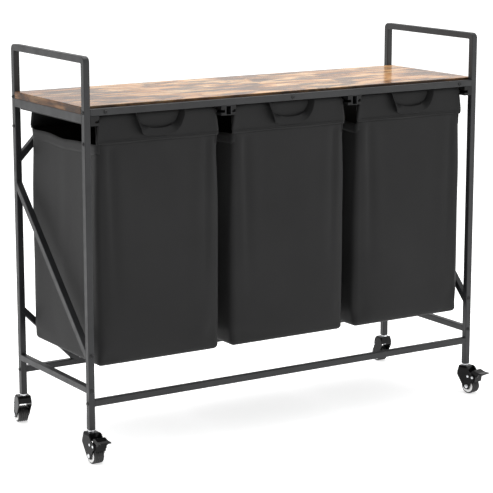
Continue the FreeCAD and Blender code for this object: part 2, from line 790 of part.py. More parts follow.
def short_rivet(name, side, y, z):
    """A rivet in one cheek, flush inside; side is -1 or +1."""
    body = new_body(f"{name}_short_rivet")
    inner, face = f"{side}*fork_inside/2", f"{side}*(fork_inside/2 + cheek)"
    outline = [
        (inner, "0"), (inner, "rivet_radius"), (face, "rivet_radius"), (face, "rivet_head"),
        (f"{face} + {side}*rivet_height/2", "rivet_head"), (f"{face} + {side}*rivet_height", "rivet_head/2"),
        (f"{face} + {side}*rivet_height", "0"),
    ]
    revolve(body, polygon(body, "XZ_Plane", outline, ("0", z, y)))
    place_caster(body, name)
    return body


def pins(name, braked):
    rivet = ("rivet_radius", "rivet_head", "rivet_height")
    pieces = [pin_body(name, "axle", "trail", "wheel_radius", "axle_radius", "axle_cap", "cap_height")]
    pieces += [short_rivet(name, side, "rivet_a_y", "rivet_a_z") for side in (-1, 1)]
    if braked:
        pieces.append(pin_body(name, "rivet_b", "rivet_b_y", "rivet_b_z", *rivet))
    joined = doc.addObject("Part::Compound", f"{name}_pins")
    joined.Links = pieces
    keep(joined, f"{name}_pins")


def tyre(name):
    body = new_body(f"{name}_tyre")
    half = "tyre_width/2"
    shoulder = "wheel_radius - tyre_shoulder"
    outline = [
        (f"-{half}", "tyre_inner"), (f"-{half}", shoulder), (f"-{half} + tyre_shoulder", "wheel_radius"),
        (f"{half} - tyre_shoulder", "wheel_radius"), (half, shoulder), (half, "tyre_inner"),
    ]
    revolve(body, polygon(body, "XZ_Plane", outline, ("0", "wheel_radius", "trail")))
    place_caster(body, name)
    keep(body, f"{name}_tyre")


def hub(name):
    body = new_body(f"{name}_hub")
    half = "hub_width/2"
    floor = "(hub_width/2 - hub_recess)"
    bore = "axle_radius + running_gap"
    outline = [
        (f"-{half}", bore), (f"-{half}", "hub_boss"), (f"-{floor}", "hub_boss"),
        (f"-{floor}", "hub_recess_outer"), (f"-{half}", "hub_recess_outer"),
        (f"-{half}", "tyre_inner"), (half, "tyre_inner"),
        (half, "hub_recess_outer"), (floor, "hub_recess_outer"), (floor, "hub_boss"),
        (half, "hub_boss"), (half, bore),
    ]
    revolve(body, polygon(body, "XZ_Plane", outline, ("0", "wheel_radius", "trail")))
    place_caster(body, name)
    keep(body, f"{name}_hub")


def pedal(name):
    """The brake pedal: an arm round its pin and a ridged plate with a lip."""
    body = new_body(f"{name}_pedal")
    y, z = "rivet_b_y", "rivet_b_z"
    outline = [
        (f"-{y} + 5", f"{z} + 6"), (f"-{y} + 3", f"{z} + 17"), (f"-{y} - 3", f"{z} + 18.5"),
        (f"-{y} - 17", f"{z} + 14"), ("-pedal_reach", f"{z} + pedal_rise"),
        ("-pedal_reach", f"{z} + pedal_rise - pedal_thick"),
        (f"-{y} - 19", f"{z} + 10.4"), (f"-{y} - 13", f"{z} + 2"), (f"-{y} - 8", f"{z} + 1.5"),
        (f"-{y} - 6", f"{z} - 12.5"), (f"-{y} - 1.5", f"{z} - 12"), (f"-{y} + 4.4", f"{z} - 4"),
    ]
    pad(body, polygon(body, "YZ_Plane", outline), "pedal_width", symmetric=True)
    hollow = rectangle(body, "YZ_Plane", f"-{y} - 30", f"-{y} - 8.5", f"{z} - 6", f"{z} + 9.4")
    pocket(body, hollow, "pedal_width - 2*pedal_thick", symmetric=True)
    pocket(body, circle(body, "YZ_Plane", f"-{y}", z, "rivet_radius + running_gap"), symmetric=True)
    round_edges(body, "pedal_round", lambda e, m: runs_along(e, "x") and m.z > size(z) + 12.5)
    place_caster(body, name)
    keep(body, f"{name}_pedal")


def stems():
    """Threaded stems with their collars, one at each post."""
    pieces = []
    for name, (side, end) in CASTERS.items():
        body = new_body(f"{name}_stem")
        outline = [
            ("0", "crown_under - face_gap - 2"), ("stem_head", "crown_under - face_gap - 2"),
            ("stem_head", "crown_under - face_gap"), ("stem_radius", "crown_under - face_gap"),
            ("stem_radius", "crown_top + face_gap"), ("collar_radius", "crown_top + face_gap"),
            ("collar_radius", "leg_bottom - collar_bevel"), ("collar_radius - collar_bevel", "leg_bottom"),
            ("stem_radius", "leg_bottom"), ("stem_radius", "leg_bottom + stem_reach"),
            ("0", "leg_bottom + stem_reach"),
        ]
        revolve(body, polygon(body, "XZ_Plane", outline), "V_Axis")
        place(body, f"{side}*post_span_x/2", f"{end}*post_span_y/2", "0")
        pieces.append(body)
    joined = doc.addObject("Part::Compound", "caster_stems")
    joined.Links = pieces
    keep(joined, "caster_stems")


def sockets():
    """Plastic plugs in the posts' feet, which hold the stems."""
    pieces = []
    for name, (side, end) in CASTERS.items():
        body = new_body(f"{name}_socket")
        half = "(tube_size/2 - tube_wall)"
        pad(body, rectangle(body, "XY_Plane", f"-{half}", half, f"-{half}", half), "socket_depth")
        pocket(body, circle(body, "XY_Plane", "0", "0", "stem_radius"), reverse=True)
        place(body, f"{side}*post_span_x/2", f"{end}*post_span_y/2", "leg_bottom")
        pieces.append(body)
    joined = doc.addObject("Part::Compound", "leg_sockets")
    joined.Links = pieces
    keep(joined, "leg_sockets")


# ---- fasteners ----

def bolt(name, x, y, z, turn, grip="bolt_grip", radius="bolt_radius"):
    """A low round head with a hexagon socket; its shank runs along the piece's own Z."""
    head = doc.addObject("Part::Cone", name + "_head")
    bind(head, Radius1="bolt_head*0.78", Radius2="bolt_head", Height="bolt_head_height")
    shank = doc.addObject("Part::Cylinder", name + "_shank")
    bind(shank, Radius=radius, Height=f"bolt_head_height + {grip}")
    key = doc.addObject("Part::Prism", name + "_key")
    key.Polygon = 6
    bind(key, Circumradius="bolt_socket/sqrt(3)*1.1", Height="bolt_head_height*0.6")
    outward = turn.multVec(Vector(0, 0, -1))
    raise_by = "bolt_head_height"
    for piece in (head, shank, key):
        spots = [f"({text}) + ({round(part, 6)})*({raise_by})" for text, part in zip((x, y, z), outward)]
        place(piece, *spots, turn)
    cut = doc.addObject("Part::Cut", name)
    cut.Base = fuse(name + "_whole", [head, shank])
    cut.Tool = key
    return cut


def frame_bolts():
    pieces = []
    inward = {(-1, "x"): Rotation(Vector(0, 1, 0), 90), (1, "x"): Rotation(Vector(0, 1, 0), -90),
              (-1, "y"): Rotation(Vector(1, 0, 0), -90), (1, "y"): Rotation(Vector(1, 0, 0), 90)}
    for side, end in CASTERS.values():
        for height in ("lower_rail_z", "top_rail_z"):
            x = f"{side}*(post_span_x/2 + tube_size/2)"
            pieces.append(bolt("rail_bolt", x, f"{end}*post_span_y/2", height, inward[side, "x"]))
        x = f"{side}*(post_span_x/2 + tube_size/2)"
        y = f"{end}*post_span_y/2"
        pieces.append(bolt("joint_bolt", x, y, "joint_bolt_z", inward[side, "x"], "tube_size"))
        y = f"{end}*(post_span_y/2 + tube_size/2)"
        pieces.append(bolt("side_bolt", f"{side}*post_span_x/2", y, "lower_side_z", inward[end, "y"]))
        if end < 0:
            x = f"{side}*post_span_x/2"
            pieces.append(bolt("brace_bolt", x, y, BRACE_FOOT_Z, inward[end, "y"], "tube_size"))
    for x in ("-rail_screw_x", "0", "rail_screw_x"):
        y = "-(post_span_y/2 + tube_size/2)"
        pieces.append(bolt("rail_screw", x, y, "top_rail_z", inward[-1, "y"], "tube_size/2 - 2"))
    joined = doc.addObject("Part::Compound", "frame_bolts")
    joined.Links = pieces
    keep(joined, "frame_bolts")


def shelf_screws():
    pieces = []
    for side in (-1, 1):
        for end in (-1, 1):
            z = "board_top - board_thick - top_side_height"
            grip = "top_side_height + board_thick*0.6"
            x = f"{side}*post_span_x/2"
            pieces.append(bolt("shelf_screw", x, f"{end}*shelf_screw_y", z, Rotation(), grip))
    joined = doc.addObject("Part::Compound", "shelf_screws")
    joined.Links = pieces
    keep(joined, "shelf_screws")


# ---- the whole cart ----

def build():
    fill_sheet()
    side_frame("left_side_frame", -1)
    side_frame("right_side_frame", 1)
    long_rails()
    side_rails()
    side_braces()
    rear_braces()
    shelf_board()
    slide_bars()
    channels()
    for number, centre in (("1", "-bag_pitch"), ("2", "0"), ("3", "bag_pitch")):
        bag(number, centre)
        bag_frame(number, centre)
        base_board(number, centre)
        strap(number, centre)
    for name, (side, end) in CASTERS.items():
        braked = end < 0
        fork(name, braked)
        pins(name, braked)
        tyre(name)
        hub(name)
        if braked:
            pedal(name)
    stems()
    sockets()
    frame_bolts()
    shelf_screws()
    doc.recompute()


def check_and_export():
    for thing in doc.Objects:
        if any(word in thing.State for word in ("Invalid", "Error")):
            raise RuntimeError(f"{thing.Label} did not recompute: {thing.State}")
    os.makedirs("parts", exist_ok=True)
    for piece in parts:
        shape = piece.Shape
        if shape.isNull() or not shape.isValid() or shape.Volume <= 0:
            raise RuntimeError(piece.Label + " has no valid shape")
    for piece in parts:
        piece.Shape.exportStep(f"parts/{piece.Label}.step")
    print(len(parts), "pieces")


build()
check_and_export()
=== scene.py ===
import json
import math

import bmesh
import bpy
import numpy as np
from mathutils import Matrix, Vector, noise


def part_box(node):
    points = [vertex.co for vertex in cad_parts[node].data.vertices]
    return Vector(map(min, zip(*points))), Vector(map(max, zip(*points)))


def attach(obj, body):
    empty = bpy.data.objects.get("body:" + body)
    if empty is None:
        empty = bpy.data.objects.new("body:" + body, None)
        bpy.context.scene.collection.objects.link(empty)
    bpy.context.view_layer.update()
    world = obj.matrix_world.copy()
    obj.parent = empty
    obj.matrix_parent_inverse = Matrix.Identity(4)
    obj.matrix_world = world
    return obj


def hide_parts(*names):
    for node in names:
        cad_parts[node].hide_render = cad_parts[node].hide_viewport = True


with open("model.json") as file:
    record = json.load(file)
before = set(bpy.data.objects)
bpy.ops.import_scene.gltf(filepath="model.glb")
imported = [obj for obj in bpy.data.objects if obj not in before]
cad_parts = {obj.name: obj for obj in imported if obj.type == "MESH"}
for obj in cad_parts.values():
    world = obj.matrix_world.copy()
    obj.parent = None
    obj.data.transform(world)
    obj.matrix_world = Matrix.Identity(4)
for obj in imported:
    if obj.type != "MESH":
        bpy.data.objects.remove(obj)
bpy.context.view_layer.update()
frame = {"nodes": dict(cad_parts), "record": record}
scene = bpy.context.scene
nodesOf = frame["nodes"]
for name in ("Cube", "Light", "Camera"):
    if name in bpy.data.objects:
        bpy.data.objects.remove(bpy.data.objects[name])


def smoothStep(low, high, value):
    t = min(1.0, max(0.0, (value - low) / (high - low)))
    return t * t * (3 - 2 * t)


def meshPiece(name, points, faces, material, smooth=True, uv=None):
    mesh = bpy.data.meshes.new(name)
    mesh.from_pydata([tuple(p) for p in points], [], faces)
    if uv:
        layer = mesh.uv_layers.new(name="cloth")
        for loop in mesh.loops:
            layer.data[loop.index].uv = uv[loop.vertex_index]
    mesh.polygons.foreach_set("use_smooth", [smooth] * len(mesh.polygons))
    mesh.update()
    piece = bpy.data.objects.new(name, mesh)
    scene.collection.objects.link(piece)
    piece.data.materials.append(material)
    return piece


def bakeDown(piece):  # applies the modifiers and leaves a plain mesh
    bpy.context.view_layer.update()
    shape = piece.evaluated_get(bpy.context.evaluated_depsgraph_get())
    mesh = bpy.data.meshes.new_from_object(shape)
    piece.modifiers.clear()
    piece.data = mesh
    return piece


def thicken(piece, thickness, offset=-1.0, even=True):
    wall = piece.modifiers.new("wall", "SOLIDIFY")
    wall.thickness = thickness
    wall.offset = offset
    wall.use_even_offset = even
    return piece


def subdivide(piece, levels=1):
    sub = piece.modifiers.new("sub", "SUBSURF")
    sub.levels = levels
    sub.render_levels = levels
    return piece


def newMaterial(name, colour, roughness, **sockets):
    material = bpy.data.materials.new(name)
    material.use_nodes = True
    tree = material.node_tree
    shader = tree.nodes["Principled BSDF"]
    shader.inputs["Base Color"].default_value = (*colour, 1)
    shader.inputs["Roughness"].default_value = roughness
    for socket, value in sockets.items():
        shader.inputs[socket.replace("_", " ")].default_value = value
    material.diffuse_color = (*colour, 1)
    return material, tree, shader


def addNode(tree, kind, settings=None, **inputs):
    node = tree.nodes.new(kind)
    for key, value in (settings or {}).items():
        setattr(node, key, value)
    for key, value in inputs.items():
        socket = node.inputs[key.replace("_", " ")]
        if isinstance(value, bpy.types.NodeSocket):
            tree.links.new(value, socket)
        else:
            socket.default_value = value
    return node


def coordinates(tree, source="Object", scale=(1, 1, 1), shift=(0, 0, 0)):
    place = tree.nodes.new("ShaderNodeTexCoord").outputs[source]
    return addNode(tree, "ShaderNodeMapping", Vector=place, Scale=scale, Location=shift).outputs[0]


def grain(tree, place, scale, detail=2.0, roughness=0.5, distortion=0.0):
    node = addNode(tree, "ShaderNodeTexNoise", Vector=place, Scale=scale, Detail=detail,
                   Roughness=roughness, Distortion=distortion)
    return node.outputs[0]


def ramp(tree, value, *stops):
    node = addNode(tree, "ShaderNodeValToRGB", Fac=value)
    band = node.color_ramp
    while len(band.elements) < len(stops):
        band.elements.new(0.5)
    for element, (spot, colour) in zip(band.elements, stops):
        element.position = spot
        element.color = (*colour, 1) if isinstance(colour, tuple) else (colour, colour, colour, 1)
    return node.outputs[0]


def blendColours(tree, how, share, first, second):
    node = tree.nodes.new("ShaderNodeMix")
    node.data_type = "RGBA"
    node.blend_type = how
    for index, value in ((0, share), (6, first), (7, second)):
        socket = node.inputs[index]
        if isinstance(value, bpy.types.NodeSocket):
            tree.links.new(value, socket)
        elif index == 0:
            socket.default_value = value
        else:
            socket.default_value = (*value, 1)
    return node.outputs[2]


def calculate(tree, how, first, second=0.0):
    node = tree.nodes.new("ShaderNodeMath")
    node.operation = how
    for index, value in enumerate((first, second)):
        if isinstance(value, bpy.types.NodeSocket):
            tree.links.new(value, node.inputs[index])
        else:
            node.inputs[index].default_value = value
    return node.outputs[0]


def emboss(tree, shader, height, distance, strength=1.0, under=None):
    node = addNode(tree, "ShaderNodeBump", Height=height, Distance=distance, Strength=strength)
    if under:
        tree.links.new(under, node.inputs["Normal"])
    tree.links.new(node.outputs[0], shader.inputs["Normal"])
    return node.outputs[0]


def paint(tree, shader, socket, value):
    tree.links.new(value, shader.inputs[socket])


powder = {"dark": (0.0110, 0.0115, 0.0124), "light": (0.0185, 0.019, 0.0204), "pebble": 1400.0}


def powderCoat():
    material, tree, shader = newMaterial("powderCoat", powder["dark"], 0.44, Specular_IOR_Level=0.38)
    place = coordinates(tree)
    cloud = grain(tree, place, 9.0, 3.0)
    paint(tree, shader, "Base Color", ramp(tree, cloud, (0.3, powder["dark"]), (0.7, powder["light"])))
    paint(tree, shader, "Roughness", ramp(tree, grain(tree, place, 40.0, 2.0), (0.3, 0.36), (0.75, 0.50)))
    emboss(tree, shader, grain(tree, place, powder["pebble"], 2.0), 0.00012, 0.35)
    return material


wood = {
    "shade": (0.125, 0.072, 0.050), "umber": (0.210, 0.100, 0.046), "tan": (0.54, 0.255, 0.100),
    "honey": (0.84, 0.450, 0.195), "pale": (0.95, 0.62, 0.33), "band": 0.36, "edge": 0.24,
    "smokeShare": 0.85, "streakShare": 0.8, "poreShare": 0.35, "browner": (0.44, 0.37, 0.33),
}


def rusticWood():
    material, tree, shader = newMaterial("rusticWood", wood["tan"], 0.2, Specular_IOR_Level=0.14)
    # the grain runs along X on the faces and along Y on the two ends
    normal = tree.nodes.new("ShaderNodeNewGeometry").outputs["Normal"]
    facing = addNode(tree, "ShaderNodeSeparateXYZ", Vector=normal).outputs
    isEnd = calculate(tree, "GREATER_THAN", calculate(tree, "ABSOLUTE", facing[0]), 0.6)
    flat = coordinates(tree)
    parts = addNode(tree, "ShaderNodeSeparateXYZ", Vector=flat).outputs
    turned = addNode(tree, "ShaderNodeCombineXYZ", X=parts[1], Y=parts[2], Z=parts[0]).outputs[0]
    mix = tree.nodes.new("ShaderNodeMix")
    mix.data_type = "VECTOR"
    tree.links.new(isEnd, mix.inputs[0])
    tree.links.new(flat, mix.inputs[4])
    tree.links.new(turned, mix.inputs[5])
    place = mix.outputs[1]

    def stretched(along, across, shift=0.0):
        return addNode(tree, "ShaderNodeMapping", Vector=place, Scale=(along, across, across * 0.6),
                       Location=(shift, shift * 0.7, 0)).outputs[0]

    patches = grain(tree, stretched(7.5, 24.0), 1.0, 4.0, 0.6, 0.9)
    colour = ramp(tree, patches, (0.34, wood["umber"]), (0.43, wood["tan"]), (0.52, wood["honey"]),
                  (0.64, wood["pale"]), (0.78, wood["honey"]))
    smoke = grain(tree, stretched(6.5, 19.0, 3.0), 1.0, 3.0, 0.6, 1.3)
    dark = ramp(tree, smoke, (0.44, 0.0), (0.57, 1.0))
    share = calculate(tree, "MULTIPLY", dark, wood["smokeShare"])
    colour = blendColours(tree, "MIX", share, colour, wood["shade"])
    streaks = grain(tree, stretched(8.0, 150.0, 1.0), 1.0, 3.0, 0.6)
    lines = ramp(tree, streaks, (0.36, 0.28), (0.55, 1.0))
    colour = blendColours(tree, "MULTIPLY", wood["streakShare"], colour, lines)
    pores = grain(tree, stretched(26.0, 700.0, 5.0), 1.0, 2.0)
    dots = ramp(tree, pores, (0.36, 0.3), (0.5, 1.0))
    colour = blendColours(tree, "MULTIPLY", wood["poreShare"], colour, dots)
    # the left end is browner
    leftwards = ramp(tree, calculate(tree, "MULTIPLY", parts[0], -1.0), (0.20, 0.0), (0.56, 0.8))
    colour = blendColours(tree, "MULTIPLY", leftwards, colour, wood["browner"])
    # the edge band is darker than the face
    isEdge = calculate(tree, "GREATER_THAN", calculate(tree, "ABSOLUTE", facing[1]), 0.6)
    colour = blendColours(tree, "MULTIPLY", isEnd, colour, (wood["band"],) * 3)
    colour = blendColours(tree, "MULTIPLY", isEdge, colour, (wood["edge"],) * 3)
    paint(tree, shader, "Base Color", colour)
    paint(tree, shader, "Roughness", ramp(tree, streaks, (0.3, 0.26), (0.7, 0.15)))
    emboss(tree, shader, streaks, 0.0002, 0.35)
    return material


def weave(tree, place, pitch):  # over-and-under threads from two sets of fine bands
    parts = addNode(tree, "ShaderNodeSeparateXYZ", Vector=place).outputs
    turn = 2 * math.pi / pitch
    across = calculate(tree, "SINE", calculate(tree, "MULTIPLY", parts[0], turn))
    up = calculate(tree, "SINE", calculate(tree, "MULTIPLY", parts[1], turn))
    return calculate(tree, "MULTIPLY", across, up)


fabric = {"deep": (0.0070, 0.0070, 0.0072), "worn": (0.0105, 0.0105, 0.0107), "pitch": 0.0012}


# the second argument scales the cloth colours down to make a darker copy, used as painted shade on the
# cuffs
def bagCloth(name="bagCloth", paintedShadeScale=1.0):
    deep = tuple(c * paintedShadeScale for c in fabric["deep"])
    worn = tuple(c * paintedShadeScale for c in fabric["worn"])
    material, tree, shader = newMaterial(name, deep, 0.64, Specular_IOR_Level=0.23,
                                         Sheen_Weight=0.06, Sheen_Roughness=0.5)
    place = coordinates(tree)
    cloud = grain(tree, place, 5.0, 3.0)
    paint(tree, shader, "Base Color", ramp(tree, cloud, (0.35, deep), (0.7, worn)))
    threads = weave(tree, coordinates(tree, "UV"), fabric["pitch"])
    slub = grain(tree, coordinates(tree, "UV", (60, 900, 1)), 1.0, 2.0)
    crease = emboss(tree, shader, grain(tree, place, 38.0, 3.0, 0.6), 0.0009, 0.35)
    height = calculate(tree, "ADD", calculate(tree, "MULTIPLY", threads, 0.6), slub)
    emboss(tree, shader, height, 0.00012, 0.4, crease)
    return material


webbing = {"groove": (0.0062, 0.0062, 0.0064), "crestLit": (0.0130, 0.0130, 0.0134), "pitch": 0.0022}


def webbingCloth():
    material, tree, shader = newMaterial("webbing", (0.008, 0.008, 0.0082), 0.66, Specular_IOR_Level=0.2)
    ribs = weave(tree, coordinates(tree, "UV", (1, 0.5, 1)), webbing["pitch"])
    # the weave's relief is painted into the colour: painted shade in the grooves, painted light on the
    # crests
    tones = ramp(tree, ribs, (0.0, webbing["groove"]), (1.0, webbing["crestLit"]))
    paint(tree, shader, "Base Color", tones)
    emboss(tree, shader, ribs, 0.0002, 0.5)
    return material


def mouldedPlastic(name, colour, roughness, pebble=700.0, shine=0.5):
    material, tree, shader = newMaterial(name, colour, roughness, Specular_IOR_Level=shine)
    place = coordinates(tree)
    lighter = tuple(min(1.0, c * 1.35 + 0.002) for c in colour)
    tones = ramp(tree, grain(tree, place, 30.0, 3.0), (0.35, colour), (0.75, lighter))
    paint(tree, shader, "Base Color", tones)
    emboss(tree, shader, grain(tree, place, pebble, 2.0), 0.0001, 0.2)
    return material


def brightMetal(name, colour, roughness):
    material, tree, shader = newMaterial(name, colour, roughness, Metallic=1.0)
    place = coordinates(tree)
    polish = ramp(tree, grain(tree, place, 220.0, 3.0), (0.3, roughness), (0.7, roughness + 0.14))
    paint(tree, shader, "Roughness", polish)
    emboss(tree, shader, grain(tree, place, 500.0, 2.0), 0.00006, 0.3)
    return material


finish = {
    "frame_steel": powderCoat(),
    "shelf_wood": rusticWood(),
    "bag_fabric": bagCloth(),
    "strap_webbing": webbingCloth(),
    "wire_steel": mouldedPlastic("coatedWire", (0.020, 0.020, 0.021), 0.38),
    "base_plastic": mouldedPlastic("stiffSheet", (0.024, 0.024, 0.024), 0.6, 300.0),
    "slide_plastic": mouldedPlastic("runnerNylon", (0.0065, 0.0065, 0.0068), 0.5, 700.0, 0.22),
    "bolt_steel": mouldedPlastic("blackBolt", (0.009, 0.009, 0.0094), 0.4, 700.0, 0.35),
    "bright_steel": brightMetal("zincPlate", (0.72, 0.73, 0.75), 0.22),
    "caster_black": mouldedPlastic("blackEnamel", (0.0045, 0.0045, 0.0047), 0.15, 250.0, 0.14),
    "tyre_rubber": mouldedPlastic("tyreRubber", (0.013, 0.013, 0.013), 0.42, 900.0),
    "hub_plastic": mouldedPlastic("whiteNylon", (0.78, 0.78, 0.77), 0.35, 400.0),
}
slotOf = {row["node"]: row["material_slot"] for row in frame["record"]["subparts"]}
for node, piece in nodesOf.items():
    piece.data.materials.clear()
    piece.data.materials.append(finish[slotOf[node]])
print("materials are on the frame's own pieces")


bagShape = {
    "sideCells": 38, "cornerCells": 4, "rows": 62, "corner": 0.012, "foot": 0.012, "wall": 0.0012,
    "hem": 0.7125,          # height of the hem line, where the cuffs start
    "lap": 0.0035,          # how far the body runs up behind the cuffs
    "neck": 0.0036,         # how much the top is drawn in on each side
    "column": 0.0078,       # cloth that one column of cells stands for
    "sag": 0.0045, "wander": 0.0022,
    "floorInsets": (0.145, 0.12, 0.095, 0.07, 0.045, 0.025, 0.0125),
    # place across the bag, width, depth and lean of each hanging fold
    "folds": ((-0.136, 0.0060, 0.0040, 0.02), (-0.121, 0.0075, -0.0030, 0.03),
              (-0.098, 0.015, 0.0014, 0.05), (0.139, 0.0060, 0.0042, -0.02),
              (0.126, 0.0075, -0.0032, -0.02), (0.104, 0.014, 0.0012, -0.04),
              (0.03, 0.03, 0.0006, 0.05)),
}
clothRun = {
    "slack": 0.0015, "pressure": 0.5, "frames": 20, "cap": 0.0045, "smoothings": 4,
    "quality": 5, "mass": 0.25, "gravity": 0.6, "airDamping": 4,
    "tension": 18, "compression": 14, "shear": 8, "bending": 3.0,
    "heldAtFoot": 0.004, "heldAtHem": 0.012,    # how much more is held above the foot, below the hem
}


def bagHalfWidth(z, full):
    drawn = smoothStep(0.56, 0.70, z) - 0.35 * smoothStep(0.700, 0.716, z)
    return full - bagShape["neck"] * drawn


# one level of the bag: the front from left to right, then round by the rear
def bagRing(z, inset, full, front, rear):
    half = bagHalfWidth(z, full) - inset
    low, high = front + inset, rear - inset
    r = max(0.0015, bagShape["corner"] - inset)
    cells, turns = bagShape["sideCells"], bagShape["cornerCells"]
    points = []
    sides = [((-half + r, low), (half - r, low), (half - r, low + r), -90),
             ((half, low + r), (half, high - r), (half - r, high - r), 0),
             ((half - r, high), (-half + r, high), (-half + r, high - r), 90),
             ((-half, high - r), (-half, low + r), (-half + r, low + r), 180)]
    for start, stop, centre, angle in sides:
        for i in range(cells + 1):
            t = i / cells
            points.append((start[0] + (stop[0] - start[0]) * t, start[1] + (stop[1] - start[1]) * t))
        for i in range(1, turns):
            a = math.radians(angle + 90 * i / turns)
            points.append((centre[0] + r * math.cos(a), centre[1] + r * math.sin(a)))
    return points


# soft hanging folds: a push along Y on the front and rear, along X on the sides
def bagFolds(x, y, z, seed):
    high = smoothStep(0.25, 0.66, z) * (1 - smoothStep(0.695, 0.712, z))
    low = smoothStep(0.215, 0.27, z)
    band = 0.0
    for spot, width, depth, lean in bagShape["folds"]:
        away = (x - spot - lean * (0.7 - z)) / width
        band += depth * math.exp(-away * away)
    slow = noise.noise(Vector((x * 7 + seed * 5, y * 7, z * 4))) * bagShape["wander"] * low
    return band * high + slow * (1 - smoothStep(0.66, 0.705, z))


def bagBody(number, centre, front, rear, bottom, full, seed):
    levels = [(bottom, inset) for inset in bagShape["floorInsets"]]
    foot = bagShape["foot"]
    levels += [(bottom + foot * (1 - math.cos(a)), foot * (1 - math.sin(a)))
               for a in (math.radians(18 * k) for k in range(0, 6))]
    top = bagShape["hem"] + bagShape["lap"]
    rows = bagShape["rows"]
    start = bottom + foot
    levels += [(start + (top - start) * k / rows, 0.0) for k in range(1, rows + 1)]
    points, uv = [], []
    for z, inset in levels:
        ring = bagRing(z, inset, full, front, rear)
        for i, (x, y) in enumerate(ring):
            onSide = abs(x) > bagHalfWidth(z, full) - 0.002 and inset < 1e-6
            push = bagFolds(x, y, z, seed) if inset < 1e-6 else 0.0
            lift = 0.0
            if onSide:
                x += math.copysign(push, x)
                sway = math.sin((y - front) * 21 + seed) * 0.0022
                sway += math.sin((y - front) * 47 + 2 * seed) * 0.0012
                lift = (sway - bagShape["sag"]) * smoothStep(0.62, 0.712, z)
            elif inset < 1e-6:
                y += push if y > 0 else -push * 0.7
            points.append((centre + x, y, z + lift))
            uv.append((i * bagShape["column"], z if inset < 1e-6 else bottom - inset))
    count = len(ring)
    faces = []
    for row in range(len(levels) - 1):
        for i in range(count):
            j = (i + 1) % count
            faces.append((row * count + i, row * count + j, (row + 1) * count + j, (row + 1) * count + i))
    faces.append(tuple(range(count - 1, -1, -1)))
    body = meshPiece(f"bagBody_{number}", points, faces, finish["bag_fabric"], uv=uv)
    return body, count, len(levels)


# lets the cloth hang and puff a little between its hem and its floor board
def hangCloth(piece, count, pinnedBelow, pinnedAbove):
    rest = np.array([v.co for v in piece.data.vertices])
    group = piece.vertex_groups.new(name="held")
    held = [v.index for v in piece.data.vertices if v.co.z < pinnedBelow or v.co.z > pinnedAbove]
    group.add(held, 1.0, "REPLACE")
    cloth = piece.modifiers.new("cloth", "CLOTH")
    cloth.settings.quality = clothRun["quality"]
    cloth.settings.mass = clothRun["mass"]
    cloth.settings.tension_stiffness = clothRun["tension"]
    cloth.settings.compression_stiffness = clothRun["compression"]
    cloth.settings.shear_stiffness = clothRun["shear"]
    cloth.settings.bending_stiffness = clothRun["bending"]
    cloth.settings.air_damping = clothRun["airDamping"]
    cloth.settings.vertex_group_mass = "held"
    cloth.settings.use_pressure = True
    cloth.settings.uniform_pressure_force = clothRun["pressure"]
    cloth.settings.shrink_min = -clothRun["slack"]
    cloth.settings.effector_weights.gravity = clothRun["gravity"]
    cloth.point_cache.frame_start = 1
    cloth.point_cache.frame_end = clothRun["frames"]
    for step in range(1, clothRun["frames"] + 1):
        scene.frame_set(step)
    shape = piece.evaluated_get(bpy.context.evaluated_depsgraph_get())
    moved = (np.array([v.co for v in shape.data.vertices]) - rest).reshape(-1, count, 3)
    for again in range(clothRun["smoothings"]):
        upDown = np.concatenate([moved[:1], moved, moved[-1:]])
        moved = (2 * moved + np.roll(moved, 1, 1) + np.roll(moved, -1, 1) + upDown[:-2] + upDown[2:]) / 6
    moved = moved.reshape(-1, 3)
    far = np.linalg.norm(moved, axis=1)
    cap = clothRun["cap"]
    scale = np.where(far > 1e-9, cap * np.tanh(far / cap) / np.maximum(far, 1e-9), 0)
    piece.modifiers.clear()
    piece.vertex_groups.clear()
    piece.data.vertices.foreach_set("co", (rest + moved * scale[:, None]).ravel())
    piece.data.update()
    scene.frame_set(1)
    print("cloth", piece.name, "moved up to", round(float((far * scale).max()) * 1000, 1), "mm")


cuffShape = {"topHalf": 0.1480, "lowHalf": 0.1580, "top": 0.7782, "thick": 0.0009, "columns": 64,
             "tuck": 0.0030, "proud": 0.0004,
             "faceTop": 0.7665,                                 # where the flat front starts to bend
             "bendDepth": 0.0052, "bendHeight": 0.7672,         # middle of the bend over the rod
             "bendReach": 0.0050, "bendRise": 0.0108,
             "backDepth": 0.0102, "backSlope": 0.0078, "backGap": 0.0008,
             "bow": 0.0004, "ripple": 0.0011, "endRipple": 0.0020, "endDroop": 0.0016}
# the cuffs get the bag cloth at 0.8 of its colour: painted shade from the shelf rail above
shadedCuffCloth = bagCloth("shadedCuffCloth", 0.8)


